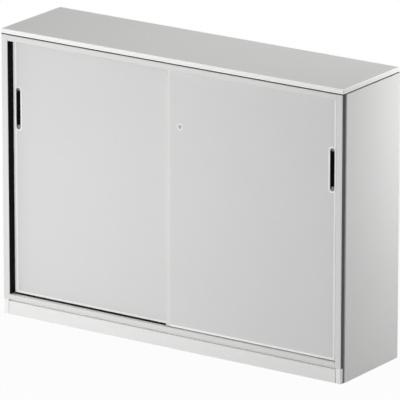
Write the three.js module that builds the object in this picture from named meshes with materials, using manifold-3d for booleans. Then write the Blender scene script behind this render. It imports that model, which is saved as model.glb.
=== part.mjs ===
// Sliding door cabinet, three folder heights tall, on a closed plinth.
// Millimetres, +Z up. The front looks along -Y and the origin is on the floor, under the middle.
// Two doors run on rollers in a black double track: the left door behind, the right door in front.

import * as THREE from "three";
import { mergeVertices } from "three/addons/utils/BufferGeometryUtils.js";
import Module from "manifold-3d";

const wasm = await Module();
wasm.setup();

// Overall size
const cabinetWidth = 1600;
const cabinetDepth = 400;
const cabinetHeight = 1170;

// Clearances
const seatGap = 0.2; // between two pieces that are fixed to each other
const boreGap = 0.3; // round a piece that is let into a bore or a pocket
const runGap = 0.1; // between a bearing face and what runs on it
const cutOverrun = 2; // how far a cutting tool passes the face it cuts

// Top plate, and the shadow gap under it
const topPlateThickness = 18;
const topPlateEdging = 5;
const topPlateCornerRadius = 4;
const shadowGap = 4;
const spacerWidth = 40;
const spacerInset = 2; // of the spacer frame, behind the carcass's outer faces

// Carcass boards
const topBoardThickness = 25;
const bottomBoardThickness = 22;
const sideBoardThickness = 25;
const partitionThickness = 19;
const backPanelThickness = 8;
const backPanelInset = 2;
const partitionClearance = 5; // behind the rear door

// Outer side cladding and the dark strip in front of it
const claddingThickness = 7;
const claddingSetback = 23;
const cornerStripThickness = 2;
const cornerStripWidth = 20;
const cornerStripFrontInset = 0.5;

// Shelves
const shelfThickness = 25;
const shelfEndGap = 0.5;
const shelfSetback = 12; // behind the partition's front edge
const shelfRearGap = 0.8;

// Plinth
const plinthHeight = 60;
const plinthFrontThickness = 16;
const plinthRearThickness = 16;
const plinthRearInset = 12;
const plinthEndInset = 5;
const plinthCapWidth = 22;

// Levelling screws
const footRadius = 20;
const footHeight = 8;
const footStemRadius = 5;
const footSideInset = 45;
const footFrontInset = 85;
const footRearInset = 60;
const footStemRecess = 2; // below the bottom board's upper face
const hexSocketRadius = 3;
const hexSocketDepth = 6;

// Doors
const doorThickness = 16;
const frontDoorSetback = 15;
const doorGap = 4; // between the front door and the rear door
const doorJambGap = 2;
const doorCentreReach = 25; // how far each closed door passes the cabinet's middle
const doorFloorGap = 1.8; // over the track's ribs
const doorTopGap = 3;
const jambProfileWidth = 6;
const meetingProfileWidth = 20;
const jambStripThickness = 1.2;
const jambStripFrontInset = 2;
const jambStripRearReach = 3; // behind the rear door

// Lower track
const trackBaseThickness = 3;
const trackFrontSetback = 4; // behind the front door's face
const trackRearMargin = 2;
const ribHeight = 4;
const ribWidth = 3;
const ribOverBoard = 0.2; // how far the ribs stand over the bottom board

// Rollers and their housings
const rollerSetback = 10; // from the door's face to the roller's middle
const rollerInset = 100; // from the door's end to the roller's axle
const rollerRadius = 11;
const rollerRunningRadius = 8.5;
const rollerWidth = 8;
const rollerGrooveWidth = 4;
const axleRadius = 2.5;
const axleEndRecess = 0.3;
const housingLength = 50;
const housingWidth = 11.2;
const housingHeight = 30;
const chamberSideGap = 0.4;
const chamberRoundGap = 1.5;

// Upper guide channel and the guide blocks that run in it
const guideSetback = 9; // from the door's face to the guide's middle
const guideBlockLength = 40;
const guideBlockWidth = 7.6;
const guideBlockDepth = 20;
const guideTongueLength = 30;
const guideTongueThickness = 6;
const guideTongueHeight = 12;
const channelSideGap = 1;
const channelDepth = 11;
const channelWall = 2;
const channelBase = 2.8;

// Recessed handles
const handleTopDistance = 276; // from the door's top edge to the middle of the handle
const handleEdgeDistance = 24;
const handleOpeningWidth = 22;
const handleOpeningHeight = 172;
const cupWall = 2;
const cupFloor = 1.5;
const cupDepth = 12.5;
const rimWidth = 6;
const rimThickness = 1.2;
const rampLength = 15; // the slope down to the cup's floor at either end

// Lock
const lockTopDistance = 220; // from the door's top edge to the middle of the lock
const lockEdgeDistance = 67;
const lockFlangeRadius = 14;
const lockFlangeThickness = 1.5;
const lockBodyRadius = 11;
const lockRotorRadius = 8;
const lockRotorRecess = 0.4;
const lockTailRadius = 3;
const keySlotWidth = 1.6;
const keySlotHeight = 8;
const keySlotDepth = 7;
const camReach = 30;
const camWidth = 14;
const camThickness = 1.7;
const camDoorGap = 0.3;
const strikeWidth = 12;
const strikeHeight = 44;
const strikeThickness = 1.5;
const strikeSlotWidth = 5;
const strikeSlotHeight = 18;

// Facets of the round pieces
const roundSides = 24;
const smallRoundSides = 16;
const hexSides = 6;
const arcSteps = 10;
const cornerSteps = 4;

// Planes that the boards share
const frontY = -cabinetDepth / 2;
const rearY = cabinetDepth / 2;
const outerX = cabinetWidth / 2;
const sideOuterX = outerX - claddingThickness;
const sideInnerX = sideOuterX - sideBoardThickness;
const innerEndX = sideInnerX - seatGap;
const plateBottomZ = cabinetHeight - topPlateThickness;
const carcassTopZ = plateBottomZ - shadowGap;
const openingTopZ = carcassTopZ - topBoardThickness;
const openingBottomZ = plinthHeight + bottomBoardThickness;
const backPanelFrontY = rearY - backPanelInset - backPanelThickness;
const boardRearY = backPanelFrontY - seatGap;

// Planes that the doors share
const frontDoorY = frontY + frontDoorSetback;
const rearDoorY = frontDoorY + doorThickness + doorGap;
const rearDoorBackY = rearDoorY + doorThickness;
const partitionFrontY = rearDoorBackY + partitionClearance;
const trackFrontY = frontDoorY + trackFrontSetback;
const trackRearY = rearDoorBackY + trackRearMargin;
const ribTopZ = openingBottomZ + ribOverBoard;
const trackBaseTopZ = ribTopZ - ribHeight;
const trackBottomZ = trackBaseTopZ - trackBaseThickness;
const doorBottomZ = ribTopZ + doorFloorGap;
const doorTopZ = openingTopZ - doorTopGap;
const doorHeight = doorTopZ - doorBottomZ;
const doorOuterX = sideInnerX - doorJambGap;
const doorWidth = doorOuterX + doorCentreReach;
const doorCentreX = doorOuterX - doorWidth / 2;
const axleZ = ribTopZ + runGap + rollerRunningRadius - doorBottomZ;
const rollerOffsetX = doorWidth / 2 - rollerInset;

// Finishes
const finishes = {
  whiteBoard: { color: 0xe9e9e7, roughness: 0.55, metalness: 0 },
  greyTop: { color: 0xc9c9c6, roughness: 0.5, metalness: 0 },
  whiteEdge: { color: 0xf6f6f3, roughness: 0.45, metalness: 0 },
  blackPlastic: { color: 0x111112, roughness: 0.5, metalness: 0 },
  darkStrip: { color: 0x3c3c3e, roughness: 0.6, metalness: 0 },
  silverRim: { color: 0xd6d6d6, roughness: 0.3, metalness: 0.8 },
  steel: { color: 0xa4a6a8, roughness: 0.35, metalness: 1 },
  whiteNylon: { color: 0xe2e0d8, roughness: 0.4, metalness: 0 },
};

// Shapes

function box(x, y, z) {
  const geometry = new THREE.BoxGeometry(x[1] - x[0], y[1] - y[0], z[1] - z[0]);
  return geometry.translate((x[0] + x[1]) / 2, (y[0] + y[1]) / 2, (z[0] + z[1]) / 2);
}

function rodAlongY(radius, y, sides) {
  const geometry = new THREE.CylinderGeometry(radius, radius, y[1] - y[0], sides);
  return geometry.translate(0, (y[0] + y[1]) / 2, 0);
}

function rodAlongZ(radius, z, sides) {
  const geometry = new THREE.CylinderGeometry(radius, radius, z[1] - z[0], sides);
  return geometry.rotateX(Math.PI / 2).translate(0, 0, (z[0] + z[1]) / 2);
}

// A shape drawn in X and Z, as seen from the front, given its depth along Y.
function prismAlongY(shape, y) {
  const depth = y[1] - y[0];
  const options = { depth, bevelEnabled: false, curveSegments: arcSteps };
  return new THREE.ExtrudeGeometry(shape, options).rotateX(Math.PI / 2).translate(0, y[1], 0);
}

// A profile drawn as Y and Z pairs, given its length along X.
function prismAlongX(profile, x) {
  const shape = new THREE.Shape(profile.map(([y, z]) => new THREE.Vector2(y, z)));
  const geometry = new THREE.ExtrudeGeometry(shape, { depth: x[1] - x[0], bevelEnabled: false });
  const turn = new THREE.Matrix4().makeBasis(
    new THREE.Vector3(0, 1, 0),
    new THREE.Vector3(0, 0, 1),
    new THREE.Vector3(1, 0, 0),
  );
  return geometry.applyMatrix4(turn).translate(x[0], 0, 0);
}

// An upright outline with straight sides and half round ends.
function stadium(width, height) {
  const radius = width / 2;
  const straight = height / 2 - radius;
  const shape = new THREE.Shape();
  shape.absarc(0, straight, radius, 0, Math.PI);
  shape.absarc(0, -straight, radius, Math.PI, 2 * Math.PI);
  shape.closePath();
  return shape;
}

function roundedRectangle(halfX, halfY, radius) {
  const shape = new THREE.Shape();
  shape.absarc(halfX - radius, halfY - radius, radius, 0, Math.PI / 2);
  shape.absarc(radius - halfX, halfY - radius, radius, Math.PI / 2, Math.PI);
  shape.absarc(radius - halfX, radius - halfY, radius, Math.PI, 1.5 * Math.PI);
  shape.absarc(halfX - radius, radius - halfY, radius, 1.5 * Math.PI, 2 * Math.PI);
  shape.closePath();
  return shape;
}

function rectanglePath(halfX, halfY) {
  const path = new THREE.Path();
  path.moveTo(-halfX, -halfY);
  path.lineTo(-halfX, halfY);
  path.lineTo(halfX, halfY);
  path.lineTo(halfX, -halfY);
  path.closePath();
  return path;
}

// Cutting and joining

function solidOf(geometry) {
  const bare = geometry.clone();
  bare.deleteAttribute("normal");
  bare.deleteAttribute("uv");
  const merged = mergeVertices(bare);
  const vertProperties = new Float32Array(merged.attributes.position.array);
  const triVerts = new Uint32Array(merged.index.array);
  return new wasm.Manifold(new wasm.Mesh({ numProp: 3, vertProperties, triVerts }));
}

function geometryOf(solid) {
  const mesh = solid.getMesh();
  const geometry = new THREE.BufferGeometry();
  geometry.setAttribute("position", new THREE.BufferAttribute(mesh.vertProperties, 3));
  geometry.setIndex(new THREE.BufferAttribute(mesh.triVerts, 1));
  geometry.computeVertexNormals();
  return geometry;
}

function cut(geometry, tools) {
  const left = tools.reduce((solid, tool) => solid.subtract(solidOf(tool)), solidOf(geometry));
  return geometryOf(left);
}

function join(geometries) {
  const [first, ...others] = geometries.map(solidOf);
  return geometryOf(others.reduce((solid, other) => solid.add(other), first));
}

function overlap(first, second) {
  return geometryOf(solidOf(first).intersect(solidOf(second)));
}

function piece(name, finish, geometry) {
  const mesh = new THREE.Mesh(geometry, new THREE.MeshStandardMaterial(finishes[finish]));
  mesh.name = name;
  return mesh;
}

function both(reach) {
  return [-reach, reach];
}

function between(a, b) {
  return [Math.min(a, b), Math.max(a, b)];
}

// Top plate

function topPlate() {
  const halfX = outerX - topPlateEdging - seatGap;
  const halfY = rearY - topPlateEdging - seatGap;
  return piece("top_plate", "greyTop", box(both(halfX), both(halfY), [plateBottomZ, cabinetHeight]));
}

function topPlateEdgingRing() {
  const shape = roundedRectangle(outerX, rearY, topPlateCornerRadius);
  shape.holes.push(rectanglePath(outerX - topPlateEdging, rearY - topPlateEdging));
  const options = { depth: topPlateThickness, bevelEnabled: false, curveSegments: cornerSteps };
  const ring = new THREE.ExtrudeGeometry(shape, options).translate(0, 0, plateBottomZ);
  return piece("top_plate_edging", "whiteEdge", ring);
}

function spacerFrame() {
  const halfX = outerX - spacerInset;
  const halfY = rearY - spacerInset;
  const bars = box(both(halfX), both(halfY), [carcassTopZ + seatGap, plateBottomZ - seatGap]);
  const inside = box(both(halfX - spacerWidth), both(halfY - spacerWidth), [carcassTopZ, plateBottomZ]);
  return piece("spacer_frame", "blackPlastic", cut(bars, [inside]));
}

// Sides, each a board with an outer cladding, a dark corner strip and a black jamb strip

function sidePieces(side, hand) {
  const boardX = between(hand * sideInnerX, hand * (sideOuterX - seatGap));
  const claddingX = between(hand * sideOuterX, hand * outerX);
  const stripX = between(hand * sideOuterX, hand * (sideOuterX + cornerStripThickness));
  const jambX = between(hand * innerEndX, hand * (innerEndX - jambStripThickness));
  const stripY = [frontY + cornerStripFrontInset, frontY + cornerStripWidth];
  const jambY = [frontY + jambStripFrontInset, rearDoorBackY + jambStripRearReach];
  const jambZ = [ribTopZ + seatGap, openingTopZ - seatGap];
  const boardZ = [plinthHeight, carcassTopZ];
  return [
    piece(`${side}_side_board`, "whiteBoard", box(boardX, [frontY, rearY], boardZ)),
    piece(
      `${side}_side_cladding`,
      "whiteBoard",
      box(claddingX, [frontY + claddingSetback, rearY], [0, carcassTopZ]),
    ),
    piece(`${side}_corner_strip`, "darkStrip", box(stripX, stripY, boardZ)),
    piece(`${side}_jamb_strip`, "blackPlastic", box(jambX, jambY, jambZ)),
  ];
}

// Boards between the sides

function carcassTopBoard() {
  const board = box(both(innerEndX), [frontY, boardRearY], [openingTopZ, carcassTopZ]);
  const grooveY = [guideFrontY() - seatGap, guideRearY() + seatGap];
  const grooveZ = [openingTopZ - cutOverrun, openingTopZ + channelDepth + channelBase + seatGap];
  const groove = box(both(innerEndX + cutOverrun), grooveY, grooveZ);
  return piece("carcass_top_board", "whiteBoard", cut(board, [groove]));
}

function bottomBoard() {
  const board = box(both(innerEndX), [frontY, boardRearY], [plinthHeight, openingBottomZ]);
  const boreZ = [plinthHeight - cutOverrun, openingBottomZ + cutOverrun];
  const bores = footPlaces().map(({ x, y }) =>
    rodAlongZ(footStemRadius + boreGap, boreZ, roundSides).translate(x, y, 0),
  );
  const grooveY = [trackFrontY - seatGap, trackRearY + seatGap];
  const grooveZ = [trackBottomZ - seatGap, openingBottomZ + cutOverrun];
  const groove = box(both(innerEndX + cutOverrun), grooveY, grooveZ);
  return piece("bottom_board", "whiteBoard", cut(board, [groove, ...bores]));
}

function backPanel() {
  const y = [backPanelFrontY, backPanelFrontY + backPanelThickness];
  return piece("back_panel", "whiteBoard", box(both(innerEndX), y, [plinthHeight, carcassTopZ]));
}

function centrePartition() {
  const z = [openingBottomZ + seatGap, openingTopZ - seatGap];
  const partition = box(both(partitionThickness / 2), [partitionFrontY, boardRearY], z);
  return piece("centre_partition", "whiteBoard", partition);
}

function shelf(name, hand, level) {
  const clearHeight = (openingTopZ - openingBottomZ - 2 * shelfThickness) / 3;
  const bottomZ = openingBottomZ + level * clearHeight + (level - 1) * shelfThickness;
  const innerX = hand * (partitionThickness / 2 + shelfEndGap);
  const x = between(innerX, hand * (sideInnerX - shelfEndGap));
  const y = [partitionFrontY + shelfSetback, backPanelFrontY - shelfRearGap];
  return piece(name, "whiteBoard", box(x, y, [bottomZ, bottomZ + shelfThickness]));
}

function shelves() {
  return [
    shelf("left_lower_shelf", -1, 1),
    shelf("left_upper_shelf", -1, 2),
    shelf("right_lower_shelf", 1, 1),
    shelf("right_upper_shelf", 1, 2),
  ];
}

// Plinth

function plinthPieces() {
  const z = [0, plinthHeight - seatGap];
  const frontBoardY = [frontY, frontY + plinthFrontThickness];
  const rearBoardY = [rearY - plinthRearInset - plinthRearThickness, rearY - plinthRearInset];
  const endX = outerX - plinthEndInset;
  const jointX = endX - plinthCapWidth;
  const frontBoard = box(both(jointX - seatGap), frontBoardY, z);
  const rearBoard = box(both(sideOuterX - seatGap), rearBoardY, z);
  return [
    piece("plinth_front_board", "whiteBoard", frontBoard),
    piece("plinth_rear_board", "whiteBoard", rearBoard),
    piece("left_plinth_cap", "whiteEdge", box([-endX, -jointX], frontBoardY, z)),
    piece("right_plinth_cap", "whiteEdge", box([jointX, endX], frontBoardY, z)),
  ];
}

// Levelling screws, turned through the bottom board with a hexagon key

function footPlaces() {
  const x = sideInnerX - footSideInset;
  const frontRowY = frontY + footFrontInset;
  const rearRowY = rearY - footRearInset;
  return [
    { name: "front_left_levelling_screw", x: -x, y: frontRowY },
    { name: "front_right_levelling_screw", x, y: frontRowY },
    { name: "rear_left_levelling_screw", x: -x, y: rearRowY },
    { name: "rear_right_levelling_screw", x, y: rearRowY },
  ];
}

function levellingScrew({ name, x, y }) {
  const topZ = openingBottomZ - footStemRecess;
  const foot = rodAlongZ(footRadius, [0, footHeight], roundSides);
  const stem = rodAlongZ(footStemRadius, [footHeight / 2, topZ], roundSides);
  const socketZ = [topZ - hexSocketDepth, topZ + cutOverrun];
  const socket = rodAlongZ(hexSocketRadius, socketZ, hexSides);
  const screw = piece(name, "steel", cut(join([foot, stem]), [socket]));
  screw.position.set(x, y, 0);
  return screw;
}

// Lower track, one black profile with a running rib for each door, let into the bottom board

function lowerTrack() {
  const rib = (y) => [
    [y - ribWidth / 2, trackBaseTopZ],
    [y - ribWidth / 2, ribTopZ],
    [y + ribWidth / 2, ribTopZ],
    [y + ribWidth / 2, trackBaseTopZ],
  ];
  const profile = [
    [trackRearY, trackBottomZ],
    [trackFrontY, trackBottomZ],
    [trackFrontY, trackBaseTopZ],
    ...rib(frontDoorY + rollerSetback),
    ...rib(rearDoorY + rollerSetback),
    [trackRearY, trackBaseTopZ],
  ];
  return piece("lower_track", "blackPlastic", prismAlongX(profile, both(innerEndX)));
}

// Upper guide, a double channel let into the top board

function channelHalf() {
  return guideTongueThickness / 2 + channelSideGap;
}

function guideFrontY() {
  return frontDoorY + guideSetback - channelHalf() - channelWall;
}

function guideRearY() {
  return rearDoorY + guideSetback + channelHalf() + channelWall;
}

function upperGuide() {
  const roofZ = openingTopZ + channelDepth;
  const topZ = roofZ + channelBase;
  const channel = (y) => [
    [y - channelHalf(), openingTopZ],
    [y - channelHalf(), roofZ],
    [y + channelHalf(), roofZ],
    [y + channelHalf(), openingTopZ],
  ];
  const frontLine = frontDoorY + guideSetback;
  const rearLine = rearDoorY + guideSetback;
  const webs = [
    [frontLine + channelHalf() + channelWall, openingTopZ],
    [frontLine + channelHalf() + channelWall, roofZ],
    [rearLine - channelHalf() - channelWall, roofZ],
    [rearLine - channelHalf() - channelWall, openingTopZ],
  ];
  const profile = [
    [guideFrontY(), openingTopZ],
    ...channel(frontLine),
    ...webs,
    ...channel(rearLine),
    [guideRearY(), openingTopZ],
    [guideRearY(), topZ],
    [guideFrontY(), topZ],
  ];
  return piece("upper_guide", "blackPlastic", prismAlongX(profile, both(innerEndX)));
}

// Doors. Each is drawn from the middle of its lower edge, at its face:
// X along the door, Y into the cabinet, Z up. The hand is -1 for the left door and 1 for the right.

function handlePlace(hand) {
  return { x: hand * (doorWidth / 2 - handleEdgeDistance), z: doorHeight - handleTopDistance };
}

function lockPlace() {
  return { x: lockEdgeDistance - doorWidth / 2, z: doorHeight - lockTopDistance };
}

function handlePocket(hand) {
  const { x, z } = handlePlace(hand);
  const width = handleOpeningWidth + 2 * (cupWall + boreGap);
  const height = handleOpeningHeight + 2 * (cupWall + boreGap);
  return prismAlongY(stadium(width, height), [-cutOverrun, cupDepth + boreGap]).translate(x, 0, z);
}

function rollerPocket(x) {
  const halfLength = housingLength / 2 + boreGap;
  const y = [rollerSetback - housingWidth / 2 - boreGap, doorThickness + cutOverrun];
  return box([x - halfLength, x + halfLength], y, [-cutOverrun, housingHeight + boreGap]);
}

function guideMortise(x) {
  const halfLength = guideBlockLength / 2 + boreGap;
  const halfWidth = guideBlockWidth / 2 + boreGap;
  const y = [guideSetback - halfWidth, guideSetback + halfWidth];
  const z = [doorHeight - guideBlockDepth - boreGap, doorHeight + cutOverrun];
  return box([x - halfLength, x + halfLength], y, z);
}

function lockBore() {
  const { x, z } = lockPlace();
  const y = [-cutOverrun, doorThickness + cutOverrun];
  return rodAlongY(lockBodyRadius + boreGap, y, roundSides).translate(x, 0, z);
}

function doorPanel(side, hand, extraCuts) {
  const jambEnd = hand * (doorWidth / 2 - jambProfileWidth - seatGap);
  const meetingEnd = -hand * (doorWidth / 2 - meetingProfileWidth - seatGap);
  const panel = box(between(jambEnd, meetingEnd), [0, doorThickness], [0, doorHeight]);
  const runners = both(rollerOffsetX).flatMap((x) => [rollerPocket(x), guideMortise(x)]);
  const cuts = [handlePocket(hand), ...runners, ...extraCuts];
  return piece(`${side}_door_panel`, "whiteBoard", cut(panel, cuts));
}

function jambProfile(side, hand) {
  const x = between(hand * (doorWidth / 2 - jambProfileWidth), (hand * doorWidth) / 2);
  const profile = box(x, [0, doorThickness], [0, doorHeight]);
  return piece(`${side}_jamb_profile`, "whiteEdge", profile);
}

function meetingProfile(side, hand, cuts) {
  const x = between(-hand * (doorWidth / 2 - meetingProfileWidth), (-hand * doorWidth) / 2);
  const profile = box(x, [0, doorThickness], [0, doorHeight]);
  const shaped = cuts.length ? cut(profile, cuts) : profile;
  return piece(`${side}_meeting_profile`, "whiteEdge", shaped);
}

// The cup's hollow slopes down to its floor at either end.
function handleCup() {
  const outline = stadium(handleOpeningWidth + 2 * cupWall, handleOpeningHeight + 2 * cupWall);
  const opening = stadium(handleOpeningWidth, handleOpeningHeight);
  const floorY = cupDepth - cupFloor;
  const halfFace = handleOpeningHeight / 2;
  const halfFloor = halfFace - rampLength;
  const slopes = [
    [-cutOverrun, -halfFace],
    [0, -halfFace],
    [floorY, -halfFloor],
    [floorY, halfFloor],
    [0, halfFace],
    [-cutOverrun, halfFace],
  ];
  const hollow = overlap(
    prismAlongY(opening, [-cutOverrun, floorY]),
    prismAlongX(slopes, both(handleOpeningWidth)),
  );
  return cut(prismAlongY(outline, [0, cupDepth]), [hollow]);
}

function handleRim() {
  const faceY = -seatGap - rimThickness;
  const outline = stadium(handleOpeningWidth + 2 * rimWidth, handleOpeningHeight + 2 * rimWidth);
  const opening = stadium(handleOpeningWidth, handleOpeningHeight);
  const ring = prismAlongY(outline, [faceY, -seatGap]);
  return cut(ring, [prismAlongY(opening, [faceY - cutOverrun, cutOverrun])]);
}

function handlePieces(side, hand) {
  const { x, z } = handlePlace(hand);
  const pieces = [
    piece(`${side}_handle_cup`, "blackPlastic", handleCup()),
    piece(`${side}_handle_rim`, "silverRim", handleRim()),
  ];
  pieces.forEach((part) => part.position.set(x, 0, z));
  return pieces;
}

// Roller housing, with an open chamber below and a bore for the axle

function rollerHousing(name) {
  const half = housingWidth / 2;
  const chamberHalf = rollerWidth / 2 + chamberSideGap;
  const chamberReach = rollerRadius + chamberRoundGap;
  const y = [rollerSetback - half, rollerSetback + half];
  const body = box(both(housingLength / 2), y, [0, housingHeight]);
  const chamber = box(
    both(chamberReach),
    [rollerSetback - chamberHalf, rollerSetback + chamberHalf],
    [-cutOverrun, axleZ + chamberReach],
  );
  const boreY = [y[0] - cutOverrun, y[1] + cutOverrun];
  const bore = rodAlongY(axleRadius + runGap, boreY, smallRoundSides).translate(0, 0, axleZ);
  return piece(name, "blackPlastic", cut(body, [chamber, bore]));
}

function rollerAxle(name) {
  const half = housingWidth / 2 - axleEndRecess;
  const y = [rollerSetback - half, rollerSetback + half];
  return piece(name, "steel", rodAlongY(axleRadius, y, smallRoundSides).translate(0, 0, axleZ));
}

function roller(name) {
  const bore = axleRadius + 2 * runGap;
  const half = rollerWidth / 2;
  const groove = rollerGrooveWidth / 2;
  const profile = [
    [bore, -half],
    [rollerRadius, -half],
    [rollerRadius, -groove],
    [rollerRunningRadius, -groove],
    [rollerRunningRadius, groove],
    [rollerRadius, groove],
    [rollerRadius, half],
    [bore, half],
    [bore, -half],
  ];
  const points = profile.map(([radius, y]) => new THREE.Vector2(radius, y));
  const wheel = new THREE.LatheGeometry(points, roundSides);
  const mesh = piece(name, "whiteNylon", wheel);
  mesh.position.set(0, rollerSetback, axleZ);
  return mesh;
}

function rollerUnit(side, place, x) {
  const unit = new THREE.Group();
  unit.add(rollerHousing(`${side}_${place}_roller_housing`));
  unit.add(rollerAxle(`${side}_${place}_roller_axle`));
  unit.add(roller(`${side}_${place}_roller`));
  unit.position.x = x;
  return unit;
}

function topGuide(side, place, x) {
  const base = box(
    both(guideBlockLength / 2),
    both(guideBlockWidth / 2),
    [doorHeight - guideBlockDepth, doorHeight],
  );
  const tongue = box(
    both(guideTongueLength / 2),
    both(guideTongueThickness / 2),
    [doorHeight - guideBlockDepth / 2, doorHeight + guideTongueHeight],
  );
  const guide = piece(`${side}_${place}_top_guide`, "blackPlastic", join([base, tongue]));
  guide.position.set(x, guideSetback, 0);
  return guide;
}

function runners(side, hand) {
  const places = [
    { place: "outer", x: hand * rollerOffsetX },
    { place: "inner", x: -hand * rollerOffsetX },
  ];
  return places.flatMap(({ place, x }) => [
    rollerUnit(side, place, x),
    topGuide(side, place, x),
  ]);
}

// Lock in the right door, and its strike in the left door

function lockHousing() {
  const flange = rodAlongY(lockFlangeRadius, [-seatGap - lockFlangeThickness, -seatGap], roundSides);
  const body = rodAlongY(lockBodyRadius, [-lockFlangeThickness, doorThickness - seatGap], roundSides);
  const boreY = [-lockFlangeThickness - cutOverrun, doorThickness + cutOverrun];
  const bore = rodAlongY(lockRotorRadius + runGap, boreY, roundSides);
  return piece("lock_housing", "steel", cut(join([flange, body]), [bore]));
}

function lockRotor() {
  const frontFaceY = -seatGap - lockFlangeThickness + lockRotorRecess;
  const tailEndY = doorThickness + camDoorGap + camThickness + runGap;
  const barrel = rodAlongY(lockRotorRadius, [frontFaceY, doorThickness - seatGap], roundSides);
  const tail = rodAlongY(lockTailRadius, [doorThickness / 2, tailEndY], roundSides);
  const slotY = [frontFaceY - cutOverrun, frontFaceY + keySlotDepth];
  const slot = box(both(keySlotWidth / 2), slotY, both(keySlotHeight / 2));
  return piece("lock_rotor", "steel", cut(join([barrel, tail]), [slot]));
}

function lockCam() {
  const y = [doorThickness + camDoorGap, doorThickness + camDoorGap + camThickness];
  const shift = (camReach - camWidth / 2) / 2;
  const plate = prismAlongY(stadium(camWidth, camReach + camWidth / 2), y).translate(0, 0, shift);
  const bore = rodAlongY(lockTailRadius + runGap, [y[0] - cutOverrun, y[1] + cutOverrun], roundSides);
  return piece("lock_cam", "steel", cut(plate, [bore]));
}

function lockPieces() {
  const { x, z } = lockPlace();
  const lock = new THREE.Group();
  lock.add(lockHousing(), lockRotor(), lockCam());
  lock.position.set(x, 0, z);
  return lock;
}

function strikePlace() {
  return { x: (doorWidth - meetingProfileWidth) / 2, z: lockPlace().z };
}

function strikePocket() {
  const { x, z } = strikePlace();
  const halfWidth = strikeWidth / 2 + boreGap;
  const halfHeight = strikeHeight / 2 + boreGap;
  const y = [-cutOverrun, strikeThickness + boreGap];
  return box([x - halfWidth, x + halfWidth], y, [z - halfHeight, z + halfHeight]);
}

function lockStrike() {
  const { x, z } = strikePlace();
  const plate = box(both(strikeWidth / 2), [0, strikeThickness], both(strikeHeight / 2));
  const slotOutline = stadium(strikeSlotWidth, strikeSlotHeight);
  const slot = prismAlongY(slotOutline, [-cutOverrun, strikeThickness + cutOverrun]);
  const strike = piece("lock_strike", "steel", cut(plate, [slot]));
  strike.position.set(x, 0, z);
  return strike;
}

function leftDoor() {
  const door = new THREE.Group();
  door.add(doorPanel("left", -1, []), jambProfile("left", -1));
  door.add(meetingProfile("left", -1, [strikePocket()]), lockStrike());
  door.add(...handlePieces("left", -1), ...runners("left", -1));
  door.position.set(-doorCentreX, rearDoorY, doorBottomZ);
  return door;
}

function rightDoor() {
  const door = new THREE.Group();
  door.add(doorPanel("right", 1, [lockBore()]), jambProfile("right", 1));
  door.add(meetingProfile("right", 1, []), lockPieces());
  door.add(...handlePieces("right", 1), ...runners("right", 1));
  door.position.set(doorCentreX, frontDoorY, doorBottomZ);
  return door;
}

// Whole cabinet

function cabinet() {
  const group = new THREE.Group();
  group.add(topPlate(), topPlateEdgingRing(), spacerFrame());
  group.add(...sidePieces("left", -1), ...sidePieces("right", 1));
  group.add(carcassTopBoard(), bottomBoard(), backPanel(), centrePartition());
  group.add(...shelves(), ...plinthPieces());
  group.add(...footPlaces().map(levellingScrew));
  group.add(lowerTrack(), upperGuide(), leftDoor(), rightDoor());
  return group;
}

export default cabinet();
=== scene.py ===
import math

import bmesh
import bpy
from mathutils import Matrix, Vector


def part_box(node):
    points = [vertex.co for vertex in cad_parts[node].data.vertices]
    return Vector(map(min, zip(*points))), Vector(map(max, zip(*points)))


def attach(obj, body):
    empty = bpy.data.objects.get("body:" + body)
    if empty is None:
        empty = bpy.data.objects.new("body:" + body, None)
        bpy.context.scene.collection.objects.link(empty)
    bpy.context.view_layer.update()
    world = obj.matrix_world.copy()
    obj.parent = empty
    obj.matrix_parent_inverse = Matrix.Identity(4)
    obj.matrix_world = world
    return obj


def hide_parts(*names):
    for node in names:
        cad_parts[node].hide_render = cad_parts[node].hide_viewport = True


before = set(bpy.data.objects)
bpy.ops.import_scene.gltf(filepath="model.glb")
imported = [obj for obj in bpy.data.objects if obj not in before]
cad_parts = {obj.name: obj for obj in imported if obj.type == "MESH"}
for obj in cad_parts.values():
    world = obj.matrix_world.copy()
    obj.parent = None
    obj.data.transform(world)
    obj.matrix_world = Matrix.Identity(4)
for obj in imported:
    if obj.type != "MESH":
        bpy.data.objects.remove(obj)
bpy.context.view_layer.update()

# Plinth
# The closed base under the carcass: a front and a rear board of 16 mm chipboard with white facing,
# screwed up into the bottom board. A rebate in the front board leaves a fine shadow line under the
# bottom board. White plastic caps close its cut ends, over a narrow joint.

X, Y, Z = range(3)
hands = {"left": -1, "right": 1}
same_point = 1e-7
same_plane = 1e-5
noise_mean = 0.5
bump_strength = 0.4


def outline_at(outline, axis, along, centre=(0, 0, 0)):
    """An outline's points, put square across an axis at a distance along it."""
    first, second = [other for other in (X, Y, Z) if other != axis]
    points = []
    for across, up in outline:
        point = list(centre)
        point[axis] += along
        point[first] += across
        point[second] += up
        points.append(point)
    return points


def add_skin(shape, rings, closed):
    """Adds one more body of rings to a shape."""
    lines = [[shape.verts.new(point) for point in ring] for ring in rings]
    for near, far in list(zip(lines, lines[1:])) + ([(lines[-1], lines[0])] if closed else []):
        for place, corner in enumerate(near):
            following = (place + 1) % len(near)
            shape.faces.new((corner, near[following], far[following], far[place]))
    if not closed:
        shape.faces.new(lines[0][::-1])
        shape.faces.new(lines[-1])


def soft_shading(piece, smooth_below=40):
    """Shades a piece softly over its arrises and evenly over its flat faces."""
    piece.data.shade_smooth()
    piece.data.set_sharp_from_angle(angle=math.radians(smooth_below))
    even = piece.modifiers.new("even shading over flat faces", "WEIGHTED_NORMAL")
    even.keep_sharp = True


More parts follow.
